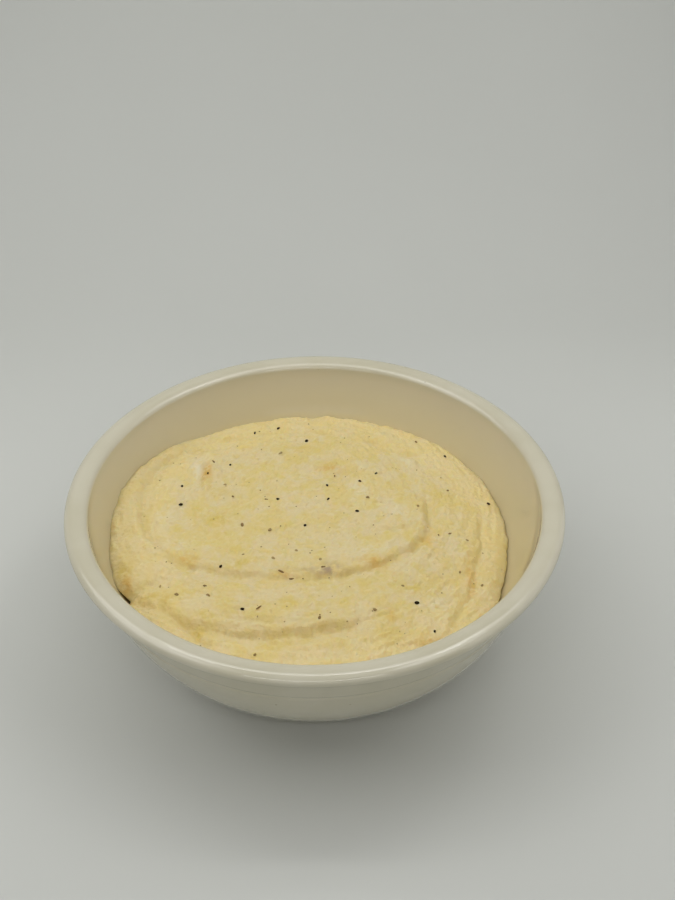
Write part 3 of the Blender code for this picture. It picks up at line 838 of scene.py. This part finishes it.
def chip_material():
    """Pepper and husk: nearly black where a chip's tone is low, tan where it is high."""
    material, tree, shader = new_material("pepper and husk")
    place = add_node(tree, "ShaderNodeTexCoord").outputs["Object"]
    tone = add_node(tree, "ShaderNodeAttribute", attribute_name="tone").outputs["Fac"]
    husk = blend(tree, remap(tree, tone, 0.3, 1.0), rgba(0.19, 0.105, 0.035), rgba(0.47, 0.35, 0.15))
    colour = blend(tree, remap(tree, tone, 0.0, 0.2), rgba(0.020, 0.012, 0.005), husk)
    grain = remap(tree, noise_value(tree, place, 2500.0, 2.0), 0.4, 0.7)
    colour = blend(tree, combine(tree, "MULTIPLY", grain, 0.35), colour, rgba(0.11, 0.075, 0.035))
    tree.links.new(colour, shader.inputs["Base Color"])
    shader.inputs["Roughness"].default_value = 0.8
    shader.inputs["Specular IOR Level"].default_value = 0.05
    return material


def floor_material():
    """Matt white sweep with a faint unevenness."""
    material, tree, shader = new_material("white sweep")
    place = add_node(tree, "ShaderNodeTexCoord").outputs["Object"]
    cloud = remap(tree, noise_value(tree, place, 6.0), 0.3, 0.7)
    colour = blend(tree, cloud, rgba(0.600, 0.610, 0.572), rgba(0.612, 0.622, 0.584))
    tree.links.new(colour, shader.inputs["Base Color"])
    shader.inputs["Roughness"].default_value = 0.9
    return material


# ---------------------------------------------------------------- the studio

SWEEP_HALF_WIDTH = 1.8
SWEEP_FRONT = -1.2
SWEEP_TURN_START = 0.21
SWEEP_TURN_RADIUS = 0.16
SWEEP_TURN_STEPS = 24
SWEEP_TOP = 0.7


def make_sweep(material):
    """A seamless floor that curves up behind the bowl."""
    shape = bmesh.new()
    profile = [(SWEEP_FRONT, 0.0), (SWEEP_TURN_START, 0.0)]
    for step in range(1, SWEEP_TURN_STEPS + 1):
        angle = math.radians(90.0 * step / SWEEP_TURN_STEPS)
        profile.append((SWEEP_TURN_START + SWEEP_TURN_RADIUS * math.sin(angle),
                        SWEEP_TURN_RADIUS * (1.0 - math.cos(angle))))
    profile.append((SWEEP_TURN_START + SWEEP_TURN_RADIUS, SWEEP_TOP))
    corners = [shape.verts.new((-SWEEP_HALF_WIDTH, along, height)) for along, height in profile]
    edges = [shape.edges.new(pair) for pair in zip(corners, corners[1:])]
    made = bmesh.ops.extrude_edge_only(shape, edges=edges)["geom"]
    moved = [part for part in made if isinstance(part, bmesh.types.BMVert)]
    bmesh.ops.translate(shape, vec=(2.0 * SWEEP_HALF_WIDTH, 0.0, 0.0), verts=moved)
    bmesh.ops.recalc_face_normals(shape, faces=shape.faces)
    mesh = bpy.data.meshes.new("sweep")
    shape.to_mesh(mesh)
    shape.free()
    mesh.shade_smooth()
    mesh.materials.append(material)
    sweep = bpy.data.objects.new("sweep", mesh)
    bpy.context.scene.collection.objects.link(sweep)


# Soft panels that light the bowl: where each stands, the point it faces, its size and watts.
Panel = namedtuple("Panel", "name place aim size power")
PANELS = (
    Panel("ceiling", (0.0, 0.0, 1.0), (0.0, 0.0, 0.0), (1.0, 1.0), 1.32),
    Panel("ceiling_back", (0.0, 0.10, 0.47), (0.0, 0.25, 0.0), (0.45, 0.05), 0.176),
    Panel("side_left", (-0.32, 0.0, 0.22), (0.0, 0.0, 0.22), (0.45, 0.40), 0.225),
    Panel("side_right", (0.32, 0.0, 0.22), (0.0, 0.0, 0.22), (0.45, 0.40), 0.335),
    Panel("high_left", (-0.42, 0.0, 0.50), (0.0, 0.0, 0.0), (0.50, 0.30), 0.73),
    Panel("steep_left", (-0.28, 0.0, 0.55), (0.0, 0.0, 0.0), (0.50, 0.20), 0.235),
    Panel("steep_right", (0.28, 0.0, 0.55), (0.0, 0.0, 0.0), (0.50, 0.20), 0.60),
    Panel("low_front", (0.0, -0.45, 0.20), (0.0, 0.0, 0.20), (0.50, 0.35), 0.31),
    Panel("strip_back", (0.0, 0.03, 0.47), (0.0, 0.03, 0.0), (0.46, 0.03), 0.30),
    Panel("strip_front", (0.0, -0.42, 0.47), (0.0, -0.20, 0.0), (0.46, 0.03), 0.42),
)


def make_studio():
    """Soft light from the sides and roof of a small tent, with two narrow strips across the roof."""
    for panel in PANELS:
        data = bpy.data.lights.new(panel.name, "AREA")
        data.shape = "RECTANGLE"
        data.size, data.size_y = panel.size
        data.energy = panel.power
        light = bpy.data.objects.new(panel.name, data)
        light.location = panel.place
        facing = Vector(panel.aim) - Vector(panel.place)
        light.rotation_euler = facing.to_track_quat("-Z", "Y").to_euler()
        light.visible_camera = False
        bpy.context.scene.collection.objects.link(light)


# The camera's place from the rim's centre, in rim radii, and how far it looks down, in radians.
CAMERA_OFFSET = Vector((0.0905, -4.0, 3.3661))
CAMERA_DIP = 0.6668
CAMERA_LENS_MM = 52.0
CAMERA_SENSOR_MM = 36.0


def make_camera():
    """The camera in front of the bowl, looking down into it."""
    data = bpy.data.cameras.new("camera")
    data.sensor_fit = "VERTICAL"
    data.sensor_height = CAMERA_SENSOR_MM
    data.lens = CAMERA_LENS_MM
    camera = bpy.data.objects.new("camera", data)
    camera.location = Vector((0.0, 0.0, BOWL_HEIGHT)) + CAMERA_OFFSET * RIM_RADIUS
    camera.rotation_euler = (math.pi / 2.0 - CAMERA_DIP, 0.0, 0.0)
    bpy.context.scene.collection.objects.link(camera)
    bpy.context.scene.camera = camera


def main():
    """Builds the camera, the studio and the pieces, and sets the colour view."""
    make_camera()
    make_studio()
    make_sweep(floor_material())
    speck_nodes = speck_group()
    turned_bowl(glaze_material(speck_nodes))
    spooned_grits(grits_material(speck_nodes))
    chips = chip_material()
    cracked_pepper(chips)
    fine_specks(chips)
    bran_flakes(chips)
    bpy.context.scene.view_settings.view_transform = "Standard"


main()
